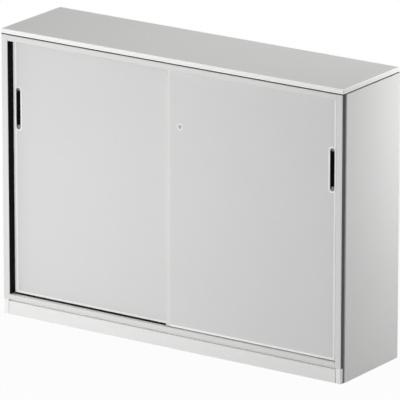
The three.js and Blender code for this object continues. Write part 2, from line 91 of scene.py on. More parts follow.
def finished_mesh(name, shape, smooth_below=40):
    """Turns the worked shape into a piece, with clean normals."""
    bmesh.ops.remove_doubles(shape, verts=shape.verts, dist=same_point)
    bmesh.ops.dissolve_degenerate(shape, edges=shape.edges, dist=same_point)
    bmesh.ops.recalc_face_normals(shape, faces=shape.faces)
    mesh = bpy.data.meshes.new(name)
    shape.to_mesh(mesh)
    shape.free()
    piece = bpy.data.objects.new(name, mesh)
    bpy.context.scene.collection.objects.link(piece)
    soft_shading(piece, smooth_below)
    return piece


def skin(name, rings, closed=False):
    """A body stretched over rings of equal point counts, capped at its ends or closed on itself."""
    shape = bmesh.new()
    add_skin(shape, rings, closed)
    return finished_mesh(name, shape)


def rounded(corners, radius, steps=4):
    """An outline whose corners are turned into arcs, none longer than about half an edge."""
    outline = []
    corners = [Vector(corner) for corner in corners]
    for before, corner, after in zip(corners[-1:] + corners[:-1], corners, corners[1:] + corners[:1]):
        back, forth = before - corner, after - corner
        half = back.angle(forth) / 2
        reach = min(radius / math.tan(half), back.length / 2.01, forth.length / 2.01)
        start, end = corner + back.normalized() * reach, corner + forth.normalized() * reach
        bisector = (back.normalized() + forth.normalized()).normalized()
        centre = corner + bisector * reach / math.cos(half)
        arc = (start - centre).length
        for step in range(steps + 1):
            outline.append(tuple(centre + (start - centre).slerp(end - centre, step / steps) * arc))
    return outline


def bar(name, outline, axis, start, end, centre=(0, 0, 0)):
    """A straight bar of one cross-section."""
    return skin(name, [outline_at(outline, axis, along, centre) for along in (start, end)])


def add_board(shape, low, high, arris, steps, broken):
    """Adds one more board to a shape."""
    made = bmesh.ops.create_cube(shape, size=1)["verts"]
    for vertex in made:
        vertex.co = Vector(high[i] if vertex.co[i] > 0 else low[i] for i in range(3))
    edges = {edge for vertex in made for edge in vertex.link_edges}
    chosen = [edge for edge in edges if broken((edge.verts[0].co + edge.verts[1].co) / 2)]
    bmesh.ops.bevel(
        shape, geom=chosen, offset=arris, segments=steps, profile=0.5, affect="EDGES", clamp_overlap=True
    )


def board(name, low, high, arris, steps=3, broken=lambda middle: True):
    """A cut board or bar whose arrises are broken to a small radius, all round or where asked."""
    shape = bmesh.new()
    add_board(shape, low, high, arris, steps, broken)
    return finished_mesh(name, shape)


def on_front_of(low):
    """Picks the four arrises round a board's front face."""
    return lambda middle: abs(middle.y - low.y) < same_plane


def fit(piece, material, slot, body, *nodes):
    """Gives a piece its finish, and fastens it to the body that carries it."""
    piece.data.materials.clear()
    piece.data.materials.append(material)
    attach(piece, body)
    if nodes:
        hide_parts(*nodes)


def maths(tree, operation, *values):
    """A maths step over sockets and plain numbers, and its result."""
    step = tree.nodes.new("ShaderNodeMath")
    step.operation = operation
    for socket, value in zip(step.inputs, values):
        if isinstance(value, (int, float)):
            socket.default_value = value
        else:
            tree.links.new(value, socket)
    return step.outputs[0]


def fine_texture_group():
    """Fine flecks and a slow unevenness over a face, from two sizes of noise laid in the piece itself."""
    group = bpy.data.node_groups.new("fine surface texture", "ShaderNodeTree")
    nodes, links = group.nodes, group.links
    for way, kind, labels in (
        ("OUTPUT", "Color", ["Colour"]),
        ("OUTPUT", "Float", ["Roughness", "Height"]),
        ("INPUT", "Color", ["Colour"]),
        ("INPUT", "Float", ["Fleck amount", "Flecks per metre", "Unevenness", "Patches per metre"]),
        ("INPUT", "Float", ["Roughness", "Roughness spread"]),
        ("INPUT", "Vector", ["Stretch"]),
    ):
        for label in labels:
            group.interface.new_socket(label, in_out=way, socket_type=f"NodeSocket{kind}")
    given, result = nodes.new("NodeGroupInput").outputs, nodes.new("NodeGroupOutput").inputs
    place = nodes.new("ShaderNodeTexCoord").outputs["Object"]
    stretched = nodes.new("ShaderNodeVectorMath")
    stretched.operation = "MULTIPLY"
    links.new(place, stretched.inputs[0])
    links.new(given["Stretch"], stretched.inputs[1])

    def noise_about_zero(where, scale, detail):
        noise = nodes.new("ShaderNodeTexNoise")
        noise.inputs["Detail"].default_value = detail
        links.new(where, noise.inputs["Vector"])
        links.new(scale, noise.inputs["Scale"])
        return maths(group, "SUBTRACT", noise.outputs["Fac"], noise_mean)

    flecks = noise_about_zero(stretched.outputs[0], given["Flecks per metre"], detail=2)
    patches = noise_about_zero(place, given["Patches per metre"], detail=3)
    tone = maths(group, "MULTIPLY_ADD", patches, given["Unevenness"], 1)
    tone = maths(group, "MULTIPLY_ADD", flecks, given["Fleck amount"], tone)
    shaded = nodes.new("ShaderNodeVectorMath")
    shaded.operation = "SCALE"
    links.new(given["Colour"], shaded.inputs[0])
    links.new(tone, shaded.inputs["Scale"])
    links.new(shaded.outputs[0], result["Colour"])
    rough = maths(group, "MULTIPLY_ADD", flecks, given["Roughness spread"], given["Roughness"])
    links.new(rough, result["Roughness"])
    links.new(flecks, result["Height"])
    return group


fine_texture = fine_texture_group()


def textured(name, colour, relief, flecks, patches, gloss, stretch=(1, 1, 1), metallic=0, shine=0.5):
    """A finish with the fine texture on its colour, its gloss and its surface.

    Flecks and patches are pairs of amount and number per metre, gloss one of roughness and spread.
    """
    material = bpy.data.materials.new(name)
    material.use_nodes = True
    nodes, links = material.node_tree.nodes, material.node_tree.links
    shader = nodes["Principled BSDF"]
    shader.inputs["Metallic"].default_value = metallic
    shader.inputs["Specular IOR Level"].default_value = shine
    texture = nodes.new("ShaderNodeGroup")
    texture.node_tree = fine_texture
    for socket, value in zip(texture.inputs, ((*colour, 1), *flecks, *patches, *gloss, stretch)):
        socket.default_value = value
    links.new(texture.outputs["Colour"], shader.inputs["Base Color"])
    links.new(texture.outputs["Roughness"], shader.inputs["Roughness"])
    bump = nodes.new("ShaderNodeBump")
    bump.inputs["Strength"].default_value = bump_strength
    bump.inputs["Distance"].default_value = relief
    links.new(texture.outputs["Height"], bump.inputs["Height"])
    links.new(bump.outputs["Normal"], shader.inputs["Normal"])
    return material


def melamine(name, colour, fleck_amount=0.05, patches_per_metre=5, roughness=0.48):
    """A pressed facing with a fine pearl in it."""
    flecks, patches = (fleck_amount, 1400), (0.03, patches_per_metre)
    return textured(name, colour, relief=0.00003, flecks=flecks, patches=patches, gloss=(roughness, 0.15))


def smooth_edging(name, colour, roughness=0.38):
    """An edging or a profile of plain plastic, smoother than the facings."""
    gloss = (roughness, 0.1)
    return textured(name, colour, relief=0.00002, flecks=(0.02, 2200), patches=(0.02, 6), gloss=gloss)


white_facing = melamine("white melamine facing", (0.82, 0.82, 0.813))
white_edging = smooth_edging("white edging", (0.93, 0.93, 0.92))
plinth_facing = melamine("plinth facing", (0.87, 0.87, 0.862), 0.04, 7, 0.45)
plinth_arris = 0.0011
groove_height = 0.0045
groove_reach = 0.0125
cap_joint = 0.0013
cap_arris = 0.0014
cap_arris_steps = 4

low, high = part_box("plinth_front_board")
outline = [
    (low.y, low.z), (low.y, high.z - groove_height),
    (low.y + groove_reach, high.z - groove_height), (low.y + groove_reach, high.z),
    (high.y, high.z), (high.y, low.z),
]
outline = rounded(outline, plinth_arris)
front_plinth = bar("plinth_front", outline, X, low.x + cap_joint, high.x - cap_joint)
fit(front_plinth, plinth_facing, "melamine_white", "cabinet", "plinth_front_board")
rear_plinth = board("plinth_rear", *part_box("plinth_rear_board"), plinth_arris)
fit(rear_plinth, plinth_facing, "melamine_white", "cabinet", "plinth_rear_board")
for side in hands:
    low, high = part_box(f"{side}_plinth_cap")
    cap = board(f"plinth_end_{side}", low, high, cap_arris, cap_arris_steps, on_front_of(low))
    fit(cap, white_edging, "edge_white", "cabinet", f"{side}_plinth_cap")

# Levelling screws
# Four zinc-plated screws with a broad pressed foot, turned through the bottom board with a hexagon
# key from inside. Each stem has a rolled thread and a hexagon socket in its top.


def turned_rings(profile, axis, centre, sides):
    """Rings about an axis, from pairs of radius and distance along it."""
    turn = 2 * math.pi / sides
    circle = [(math.cos(turn * i), math.sin(turn * i)) for i in range(sides)]
    return [
        outline_at([(radius * across, radius * up) for across, up in circle], axis, along, centre)
        for radius, along in profile
    ]


def turned(name, profile, axis, centre, sides, closed=False):
    """A piece turned about an axis."""
    return skin(name, turned_rings(profile, axis, centre, sides), closed)


def turned_set(name, parts, axis, sides):
    """A set of separate turned parts, from pairs of profile and centre."""
    shape = bmesh.new()
    for profile, centre in parts:
        add_skin(shape, turned_rings(profile, axis, centre, sides), False)
    return finished_mesh(name, shape)


def rods(name, centres, radius, axis, start, end, sides):
    """A set of separate straight rods of one size."""
    profile = [(radius, start), (radius, end)]
    return turned_set(name, [(profile, centre) for centre in centres], axis, sides)


def axis_through(node, axis, start=0):
    """The middle of a part, moved along an axis to a given place."""
    low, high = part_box(node)
    centre = (low + high) / 2
    centre[axis] = start
    return centre


def carve(piece, *tools):
    """Cuts the tools' shapes out of a piece for good, and clears the tools away."""
    piece.modifiers.clear()
    for tool in tools:
        cut = piece.modifiers.new("cut", "BOOLEAN")
        cut.operation = "DIFFERENCE"
        cut.solver = "EXACT"
        cut.object = tool
    evaluated = piece.evaluated_get(bpy.context.evaluated_depsgraph_get())
    piece.data = bpy.data.meshes.new_from_object(evaluated)
    piece.modifiers.clear()
    for tool in tools:
        bpy.data.objects.remove(tool)
    soft_shading(piece)
    return piece


zinc_plate = textured(
    "zinc plating", (0.56, 0.57, 0.58), metallic=1,
    relief=0.00002, flecks=(0.12, 700), patches=(0.15, 60), gloss=(0.34, 0.25),
)
overrun = 0.002
foot_height = 0.008
foot_edge = 0.0015
stem_radius = 0.005
hub_radius = 0.012
hub_top_radius = 0.008
thread_depth = 0.0006
thread_pitch = 0.002
thread_step = thread_pitch / 4
round_sides = 24
socket_radius = 0.003
socket_depth = 0.006
socket_sides = 6
screw_nodes = [
    f"{place}_levelling_screw" for place in ("front_left", "front_right", "rear_left", "rear_right")
]


def threaded_ring(height):
    """The stem's outline at a height, with the crest of the thread at its own place round it."""
    points = []
    for i in range(round_sides):
        share = i / round_sides
        wave = (height / thread_pitch - share) % 1
        radius = stem_radius - thread_depth * abs(2 * wave - 1)
        points.append((radius * math.cos(2 * math.pi * share), radius * math.sin(2 * math.pi * share)))
    return points


for node in screw_nodes:
    low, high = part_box(node)
    middle = axis_through(node, Z)
    foot_radius = (high.x - low.x) / 2
    profile = [
        (foot_radius - 3 * foot_edge, 0), (foot_radius, foot_edge),
        (foot_radius, foot_height - 2 * foot_edge), (foot_radius - foot_edge, foot_height - foot_edge),
        (hub_radius, foot_height - foot_edge), (hub_top_radius, foot_height),
    ]
    rings = turned_rings(profile, Z, middle, round_sides)
    for i in range(int((high.z - foot_height) / thread_step)):
        height = foot_height + i * thread_step
        rings.append(outline_at(threaded_ring(height), Z, height, middle))
    rings += turned_rings([(stem_radius - thread_depth, high.z)], Z, middle, round_sides)
    screw = skin(f"levelling_foot_{node.removesuffix('_levelling_screw')}", rings)
    socket_ends = high.z - socket_depth, high.z + overrun
    carve(screw, rods("key socket", [middle], socket_radius, Z, *socket_ends, socket_sides))
    fit(screw, zinc_plate, "steel_plated", node, node)

# Carcass boards
# Top, bottom, two sides, the centre partition and the shelves are 19 to 25 mm chipboard with white
# facing on both sides. A white edging is glued to each front edge and rounded over: 2 mm thick, and
# 6 mm and rounder on the top and bottom boards.

soft_edging = smooth_edging("soft white edging", (0.77, 0.77, 0.763), 0.4)
edging_thickness = 0.002
edging_round = 0.0012
rail_thickness = 0.006
rail_round = 0.0045
edging_steps = 6
board_arris = 0.0003
peg_hole_radius = 0.0025
peg_hole_depth = 0.012
peg_hole_pitch = 0.032
peg_hole_sides = 12
peg_axis_drop = 0.0035
holes_each_way = 3
peg_row_inset = 0.045
bore_clearance = 0.0005

shelf_levels = [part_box(f"left_{level}_shelf")[0].z for level in ("lower", "upper")]
shelf_low, shelf_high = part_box("left_lower_shelf")
peg_rows = [shelf_low.y + peg_row_inset, shelf_high.y - peg_row_inset]
peg_heights = [
    level - peg_axis_drop + step * peg_hole_pitch
    for level in shelf_levels
    for step in range(-holes_each_way, holes_each_way + 1)
]


def peg_holes(face_x, towards):
    """The cutters of all the shelf peg holes in one upright face."""
    centres = [(face_x, y, z) for y in peg_rows for z in peg_heights]
    ends = sorted((-overrun * towards, peg_hole_depth * towards))
    return rods("peg holes", centres, peg_hole_radius, X, *ends, peg_hole_sides)


def parted(low, high, thickness):
    """The corners of a board's core, and of the edging in front of it."""
    joint = low.y + thickness
    return (Vector((low.x, joint, low.z)), high), (low, Vector((high.x, joint, high.z)))


def edged_board(name, node, thickness=edging_thickness, rounding=edging_round):
    """A faced board with its front edging, which is rounded over along its length only."""
    low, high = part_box(node)
    core_corners, edging_corners = parted(low, high, thickness)
    core = board(name, *core_corners, board_arris, 2)
    fit(core, white_facing, "melamine_white", "cabinet", node)
    along = X if high.x - low.x > high.z - low.z else Z
    halfway = (low[along] + high[along]) / 2
    in_front = on_front_of(low)
    edging = board(
        f"{name}_front_edging", *edging_corners, rounding, edging_steps,
        lambda middle: in_front(middle) and abs(middle[along] - halfway) < same_plane,
    )
    fit(edging, soft_edging, "melamine_white", "cabinet")
    return core


left_side = edged_board("side_left", "left_side_board")
right_side = edged_board("side_right", "right_side_board")
partition = edged_board("middle_partition", "centre_partition")
partition_low, partition_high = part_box("centre_partition")
side_faces = {
    "left": (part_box("left_side_board")[1].x, partition_low.x),
    "right": (partition_high.x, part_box("right_side_board")[0].x),
}
carve(left_side, peg_holes(side_faces["left"][0], -1))
carve(right_side, peg_holes(side_faces["right"][1], 1))
carve(partition, peg_holes(partition_low.x, 1), peg_holes(partition_high.x, -1))
for side in hands:
    for level in ("lower", "upper"):
        edged_board(f"shelf_{side}_{level}", f"{side}_{level}_shelf")

bottom = edged_board("carcass_floor", "bottom_board", rail_thickness, rail_round)
bottom_low, bottom_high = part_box("bottom_board")
track_low, track_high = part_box("lower_track")
screw_axes = [axis_through(node, Z) for node in screw_nodes]
screw_bores = rods(
    "screw bores", screw_axes, stem_radius + bore_clearance,
    Z, bottom_low.z - overrun, bottom_high.z + overrun, round_sides,
)
track_groove = board(
    "track groove",
    (bottom_low.x - overrun, track_low.y - bore_clearance, track_low.z - bore_clearance / 2),
    (bottom_high.x + overrun, track_high.y + bore_clearance, bottom_high.z + overrun),
    board_arris, 1,
)
carve(bottom, screw_bores, track_groove)
roof = edged_board("carcass_roof", "carcass_top_board", rail_thickness, rail_round)
roof_low, roof_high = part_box("carcass_top_board")
guide_low, guide_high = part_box("upper_guide")
guide_groove = board(
    "guide groove",
    (roof_low.x - overrun, guide_low.y - bore_clearance, roof_low.z - overrun),
    (roof_high.x + overrun, guide_high.y + bore_clearance, guide_high.z + bore_clearance / 2),
    board_arris, 1,
)
carve(roof, guide_groove)

# Back panel
# An 8 mm faced board let in between the sides, held by pan-head screws that are driven from behind
# into the top board, the bottom board and the centre partition.

panel_low, panel_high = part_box("back_panel")
rear_panel = board("rear_panel", panel_low, panel_high, board_arris, 2)
fit(rear_panel, white_facing, "melamine_white", "cabinet", "back_panel")
head_radius = 0.0038
head_height = 0.0016
head_dome = [(1, 0), (0.96, 0.45), (0.7, 0.85), (0.25, 1)]
small_round_sides = 20
recess_reach = 0.62 * head_radius
recess_width = 0.0005
recess_floor = 0.35 * head_height
recess_arris = 0.00005
screws_across = 9
screws_up = 4
top_middle = (roof_low.z + roof_high.z) / 2
bottom_middle = (bottom_low.z + bottom_high.z) / 2
panel_width = panel_high.x - panel_low.x
panel_rise = top_middle - bottom_middle
screw_places = [
    (panel_low.x + (i + 0.5) / screws_across * panel_width, z)
    for z in (top_middle, bottom_middle)
    for i in range(screws_across)
]
screw_places += [(0, bottom_middle + (i + 1) / (screws_up + 1) * panel_rise) for i in range(screws_up)]
profile = [(head_radius * across, head_height * up) for across, up in head_dome]
heads = [(profile, (x, panel_high.y, z)) for x, z in screw_places]
back_screws = turned_set("back_screws", heads, Y, small_round_sides)
for across, up in ((recess_reach, recess_width), (recess_width, recess_reach)):
    slots = bmesh.new()
    for x, z in screw_places:
        low = (x - across, panel_high.y + recess_floor, z - up)
        high = (x + across, panel_high.y + 2 * head_height, z + up)
        add_board(slots, low, high, recess_arris, 1, lambda middle: True)
    carve(back_screws, finished_mesh("screw recesses", slots))
fit(back_screws, zinc_plate, "steel_plated", "cabinet")

# Shelf pegs and fitting caps
# Each shelf rests on four nickelled pegs, pushed into the rows of holes. Flat white caps cover the
# eccentric fittings that draw the boards together.


def nickel(name, colour, roughness):
    """Polished nickel with fine drawn marks."""
    return textured(
        name, colour, metallic=1, stretch=(4, 4, 0.4),
        relief=0.00001, flecks=(0.06, 500), patches=(0.05, 6), gloss=(roughness, 0.2),
    )


satin_nickel = nickel("satin nickel", (0.78, 0.78, 0.77), 0.26)
stem_length = 0.01
stem_share = 0.97
collar_radius = 0.0035
collar_start = 0.0002
collar_end = 0.0022
peg_radius = 0.92 * collar_radius
peg_start = 0.0026
peg_tip_radius = 0.7 * collar_radius
peg_tip_length = 0.0006
peg_reach = 0.009
peg_profile = [
    (stem_share * peg_hole_radius, -stem_length), (stem_share * peg_hole_radius, 0),
    (collar_radius, collar_start), (collar_radius, collar_end), (peg_radius, peg_start),
    (peg_radius, peg_reach - peg_tip_length), (peg_tip_radius, peg_reach),
]
for side, faces in side_faces.items():
    pegs = [
        ([(radius, along * inward) for radius, along in peg_profile], (face, y, level - collar_radius))
        for face, inward in zip(faces, (1, -1))
        for y in peg_rows
        for level in shelf_levels
    ]
    fit(turned_set(f"shelf_pegs_{side}", pegs, X, small_round_sides), satin_nickel, "rim_silver", "cabinet")

cap_radius = 0.0088
cap_height = 0.0011
cap_dome = [(1, 0), (1, 0.4), (0.93, 0.9), (0.8, 1)]
cap_sides = 28
cap_rows = (-0.062, 0.112)
cap_distance = 0.034
caps = [
    (
        [(cap_radius * across, up * cap_height * rise) for across, rise in cap_dome],
        (face + inward * cap_distance, y, z),
    )
    for faces in side_faces.values()
    for face, inward in zip(faces, (1, -1))
    for y in cap_rows
    for z, up in ((bottom_high.z, 1), (roof_low.z, -1))
]
fit(turned_set("fitting_caps", caps, Z, cap_sides), white_edging, "edge_white", "cabinet")

# Side claddings and corner strips
# A 7 mm faced panel covers each side down to the floor. A matt anthracite strip with two fine
# grooves lies on the side board in front of the panel and makes the dark line at the corner. A thin
# white lip closes the strip's front edge.

cladding_edging = 0.002
cladding_round = 0.0017
cover_depth = 0.001
strip_groove_depth = 0.0005
strip_groove_width = 0.0012
strip_groove_shares = (0.3, 0.62)
strip_round = 0.0002
dark_strip = textured(
    "anthracite strip", (0.085, 0.085, 0.087),
    relief=0.00003, flecks=(0.2, 1500), patches=(0.1, 6), gloss=(0.62, 0.1),
)
for side, hand in hands.items():
    low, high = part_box(f"{side}_side_cladding")
    panel_corners, edging_corners = parted(low, high, cladding_edging)
    panel = board(f"outer_panel_{side}", *panel_corners, board_arris, 2)
    fit(panel, white_facing, "melamine_white", "cabinet", f"{side}_side_cladding")
    edging = board(f"outer_panel_{side}_edging", *edging_corners, cladding_round, 3, on_front_of(low))
    fit(edging, white_edging, "edge_white", "cabinet")
    (low, high), cover_corners = parted(*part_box(f"{side}_corner_strip"), cover_depth)
    cover = board(f"corner_trim_cover_{side}", *cover_corners, board_arris, 2)
    fit(cover, soft_edging, "edge_white", "cabinet")
    inner, outer = (low.x, high.x) if hand > 0 else (high.x, low.x)
    groove_floor = outer - hand * strip_groove_depth
    outline = [(inner, low.y), (outer, low.y)]
    for share in strip_groove_shares:
        start = low.y + share * (high.y - low.y)
        end = start + strip_groove_width
        outline += [(outer, start), (groove_floor, start), (groove_floor, end), (outer, end)]
    outline += [(outer, high.y), (inner, high.y)]
    strip = bar(f"corner_trim_{side}", rounded(outline, strip_round, steps=2), Z, low.z, high.z)
    fit(strip, dark_strip, "strip_dark", "cabinet", f"{side}_corner_strip")

# Jamb strips, lower track and upper guide
# Black moulded plastic. A ribbed strip covers the inside of each side where the doors shut, both
# doors roll on the ribs of one track below, and their guides run in a double channel let in above.


def moulding(name, tone, shine, relief=0.00004, fleck_amount=0.3, unevenness=0.15, roughness=0.6):
    """A moulded plastic of one dark tone."""
    return textured(
        name, (tone, tone, tone), shine=shine,
        relief=relief, flecks=(fleck_amount, 1800), patches=(unevenness, 6), gloss=(roughness, 0.12),
    )


def notch(start, end, outside, inside):
    """The four corners of a square slot or rib in an outline."""
    return [(start, outside), (start, inside), (end, inside), (end, outside)]


black_plastic = moulding("black moulded plastic", 0.004, 0.06)
track_black = moulding("dull black plastic", 0.03, 0.15)
jamb_ribs = 8
rib_share = 0.55
valley_share = 0.45
for side, hand in hands.items():
    low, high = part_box(f"{side}_jamb_strip")
    back, face = (low.x, high.x) if hand < 0 else (high.x, low.x)
    valley = face + (back - face) * valley_share
    step = (high.y - low.y) / jamb_ribs
    outline = [(back, low.y)]
    for i in range(jamb_ribs):
        start = low.y + i * step
        end = start + rib_share * step
        outline += [(face, start), (face, end)]
        if i < jamb_ribs - 1:
            outline += [(valley, end), (valley, start + step)]
    outline += [(face, high.y), (back, high.y)]
    strip = bar(f"door_seat_{side}", outline, Z, low.z, high.z)
    fit(strip, black_plastic, "plastic_black", "cabinet", f"{side}_jamb_strip")

track_base = 0.003
track_rib_half = 0.0015
track_round = 0.0007
outline = [(track_low.y, track_low.z), (track_low.y, track_low.z + track_base)]
for side in ("right", "left"):
    rib = axis_through(f"{side}_outer_roller", X).y
    outline += notch(rib - track_rib_half, rib + track_rib_half, track_low.z + track_base, track_high.z)
outline += [(track_high.y, track_low.z + track_base), (track_high.y, track_low.z)]
track = bar("door_track", rounded(outline, track_round), X, track_low.x, track_high.x)
fit(track, track_black, "plastic_black", "cabinet", "lower_track")

channel_half = 0.004
channel_depth = 0.011
channel_wall = 0.002
channel_round = 0.0005
front_line, rear_line = [axis_through(f"{side}_outer_top_guide", X).y for side in ("right", "left")]
wall_reach = channel_half + channel_wall
hollows = (
    (front_line - channel_half, front_line + channel_half),
    (front_line + wall_reach, rear_line - wall_reach),
    (rear_line - channel_half, rear_line + channel_half),
)
outline = [(guide_low.y, guide_low.z)]
for start, end in hollows:
    outline += notch(start, end, guide_low.z, guide_low.z + channel_depth)
outline += [(guide_high.y, guide_low.z), (guide_high.y, guide_high.z), (guide_low.y, guide_high.z)]
guide = bar("door_guide_channel", rounded(outline, channel_round, steps=3), X, guide_low.x, guide_high.x)
fit(guide, black_plastic, "plastic_black", "cabinet", "upper_guide")

# Top plate
# An 18 mm board with light grey facing and a white edging all round, rounded over at its arrises. It
# lies on a black frame of flat bars, which leaves the dark shadow gap over the carcass.

# The bright white serves the top plate's real edging, and also the painted highlight strip along each
# door's lower arris.
bright_edging_and_painted_highlight = smooth_edging("bright white edging and painted highlight", (0.97, 0.97, 0.95), 0.35)
grey_facing = melamine("light grey facing", (0.58, 0.58, 0.565), 0.06, 4, 0.5)
plate_arris = 0.0002
plate_edging_round = 0.002
plate_round_steps = 4
plan_corner = 0.004
least_corner = 0.00005
bar_width = 0.04
bar_corner = 0.002


def frame_rings(corner_point, radius, section):
    """Rings round a rectangular frame, from pairs of inset and height."""
    rings = []
    for inset, height in section:
        half_x, half_y = corner_point.x - inset, corner_point.y - inset
        corners = [(-half_x, -half_y), (half_x, -half_y), (half_x, half_y), (-half_x, half_y)]
        rings.append(outline_at(rounded(corners, radius(inset), steps=6), Z, height))
    return rings


low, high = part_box("spacer_frame")
section = [
    (0, low.z + board_arris), (0, high.z - board_arris), (board_arris, high.z),
    (bar_width, high.z), (bar_width, low.z), (board_arris, low.z),
]
bars = skin("spacer_bars", frame_rings(high, lambda inset: bar_corner, section), closed=True)
fit(bars, black_plastic, "plastic_black", "cabinet", "spacer_frame")
plate_low, plate_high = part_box("top_plate")
plate = board("top_board", plate_low, plate_high, plate_arris, 1)
fit(plate, grey_facing, "melamine_grey", "cabinet", "top_plate")
low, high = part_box("top_plate_edging")
edging_width = high.x - plate_high.x
turns = [math.pi / 2 * step / plate_round_steps for step in range(plate_round_steps + 1)]
near = [plate_edging_round * (1 - math.cos(turn)) for turn in turns]
far = [plate_edging_round * (1 - math.sin(turn)) for turn in turns]
section = [(edging_width, low.z)]
section += [(inset, low.z + rise) for inset, rise in zip(far, near)]
section += [(inset, high.z - drop) for inset, drop in zip(near, far)]
section.append((edging_width, high.z))
rings = frame_rings(high, lambda inset: max(plan_corner - inset, least_corner), section)
plate_edging = skin("top_board_edging", rings, closed=True)
fit(plate_edging, bright_edging_and_painted_highlight, "edge_white", "cabinet", "top_plate_edging")

# Doors
# Each door is a 16 mm faced board. A bright strip let in along its lower arris is a painted highlight.
# A slim white profile closes it at the jamb, with its white lifted and a thin bright band on the face
# beside it as painted light, and a broader one with two grip grooves, a little lighter than the door as
# a painted highlight, closes the meeting edge. Pockets for its fittings are milled in from behind.

door_facing = melamine("door facing", (0.72, 0.72, 0.717))
cutter_arris = 0.0001
pocket_clearance = 0.0003
clearance_all_round = Vector((pocket_clearance,) * 3)
pocket_overrun = 0.004
# Size of the bright strip along each door's lower arris, which is a painted highlight.
handle_pocket_depth = 0.0128
highlight_strip_height = 0.009
highlight_strip_depth = 0.0015
highlight_strip_arris = 0.0004
lock_bore_radius = 0.0113
lock_bore_sides = 32


def stadium(width, height, steps=10):
    """An upright outline with straight sides and half round ends, always of the same point count."""
    radius = width / 2
    straight = height / 2 - radius
    points = []
    for sign in (1, -1):
        for step in range(steps + 1):
            turn = math.pi * step / steps
            points.append((sign * radius * math.cos(turn), sign * (straight + radius * math.sin(turn))))
    return points


def stadium_round(node, wider=0):
    """The outline of an upright part with half round ends, widened all round."""
    low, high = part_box(node)
    return stadium(high.x - low.x + 2 * wider, high.z - low.z + 2 * wider)


for side in hands:
    body = f"{side}_door"
    low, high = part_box(f"{side}_door_panel")
    cup = f"{side}_handle_cup"
    outline = stadium_round(cup, pocket_clearance)
    tools = [bar("handle pocket", outline, Y, -overrun, handle_pocket_depth, axis_through(cup, Y, low.y))]
    for place in ("outer", "inner"):
        part_low, part_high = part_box(f"{side}_{place}_roller_housing")
        pocket_low = part_low - Vector((pocket_clearance, pocket_clearance, pocket_overrun))
        pocket_high = part_high + clearance_all_round
        pocket_high.y = high.y + pocket_overrun
        tools.append(board("roller pocket", pocket_low, pocket_high, cutter_arris, 1))
        part_low, part_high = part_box(f"{side}_{place}_top_guide")
        slot_low, slot_high = part_low - clearance_all_round, part_high + clearance_all_round
        tools.append(board("guide slot", slot_low, slot_high, cutter_arris, 1))
    if side == "right":
        lock_axis = [axis_through("lock_housing", Y, low.y)]
        bore_end = high.y - low.y + overrun
        tools.append(rods("lock bore", lock_axis, lock_bore_radius, Y, -overrun, bore_end, lock_bore_sides))
    # A bright strip let in along the lower arris paints a highlight there.
    highlight_strip_high = Vector((high.x, low.y + highlight_strip_depth, low.z + highlight_strip_height))
    rebate_low, rebate_high = low - Vector((overrun,) * 3), highlight_strip_high + Vector((overrun, 0, 0))
    tools.append(board("highlight strip rebate", rebate_low, rebate_high, cutter_arris, 1))
    panel = carve(board(f"door_{side}", low, high, board_arris, 2), *tools)
    fit(panel, door_facing, "melamine_white", body, f"{side}_door_panel")
    highlight_strip = board(f"door_{side}_lower_painted_highlight", low, highlight_strip_high, highlight_strip_arris, 3)
    fit(highlight_strip, bright_edging_and_painted_highlight, "edge_white", body)

# The meeting profile is a little lighter than the door facing, as a painted highlight along the meeting
# edge.
door_edging_painted_highlight = smooth_edging("door profile with painted highlight", (0.8, 0.8, 0.795))
# The jamb profile's white is lifted well above the door's, as painted light over the shade beside the jamb.
jamb_edging_painted_light = smooth_edging("jamb profile with painted light", (0.96, 0.96, 0.952))
nose_round = 0.0007
# Size of the thin bright band on the door face beside the jamb profile, a painted highlight.
highlight_band_reach = 0.01
highlight_band_thickness = 0.00015
grip_depth = 0.0012
grip_width = 0.0022
grip_places = (0.22, 0.52)
grip_shape = ((0, 0), (0.3, 1), (0.7, 1), (1, 0))
meeting_round = 0.0005
for side, hand in hands.items():
    body = f"{side}_door"
    low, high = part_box(f"{side}_jamb_profile")
    corners = [(low.x, low.y), (high.x, low.y), (high.x, high.y), (low.x, high.y)]
    closer = bar(f"door_{side}_jamb_edge", rounded(corners, nose_round, steps=5), Z, low.z, high.z)
    fit(closer, jamb_edging_painted_light, "edge_white", body, f"{side}_jamb_profile")
    # The thin bright band laid on the face beside the jamb profile is a painted highlight.
    inner = low.x if hand > 0 else high.x
    start, end = sorted((inner, inner - hand * highlight_band_reach))
    highlight_band = board(
        f"door_{side}_jamb_highlight_band", (start, low.y - highlight_band_thickness, low.z), (end, low.y, high.z),
        highlight_band_thickness / 3, 1,
    )
    cup = f"{side}_handle_cup"
    carve(highlight_band, bar("cut-out", stadium_round(cup), Y, -overrun, overrun, axis_through(cup, Y, low.y)))
    fit(highlight_band, jamb_edging_painted_light, "edge_white", body)

    low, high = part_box(f"{side}_meeting_profile")
    free, joined = (low.x, high.x) if hand > 0 else (high.x, low.x)
    outline = [(free, low.y)]
    for share in grip_places:
        start = free + hand * share * (high.x - low.x)
        outline += [
            (start + hand * grip_width * across, low.y + grip_depth * deep) for across, deep in grip_shape
        ]
    outline += [(joined, low.y), (joined, high.y), (free, high.y)]
    meeting = bar(f"door_{side}_meeting_edge", rounded(outline, meeting_round, steps=3), Z, low.z, high.z)
    if side == "left":
        strike_low, strike_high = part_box("lock_strike")
        seat_low = strike_low - Vector((pocket_clearance, overrun, pocket_clearance))
        carve(meeting, board("strike seat", seat_low, strike_high + clearance_all_round, cutter_arris, 1))
    fit(meeting, door_edging_painted_highlight, "edge_white", body, f"{side}_meeting_profile")

# A black moulded cup is let into each door by its jamb. Slopes at its half round ends run down
# to the floor; they are of the cup's black plastic, coloured mid grey as painted light where they
# catch the light. A pale silver rim covers the joint, with a lip turned down into the cup.

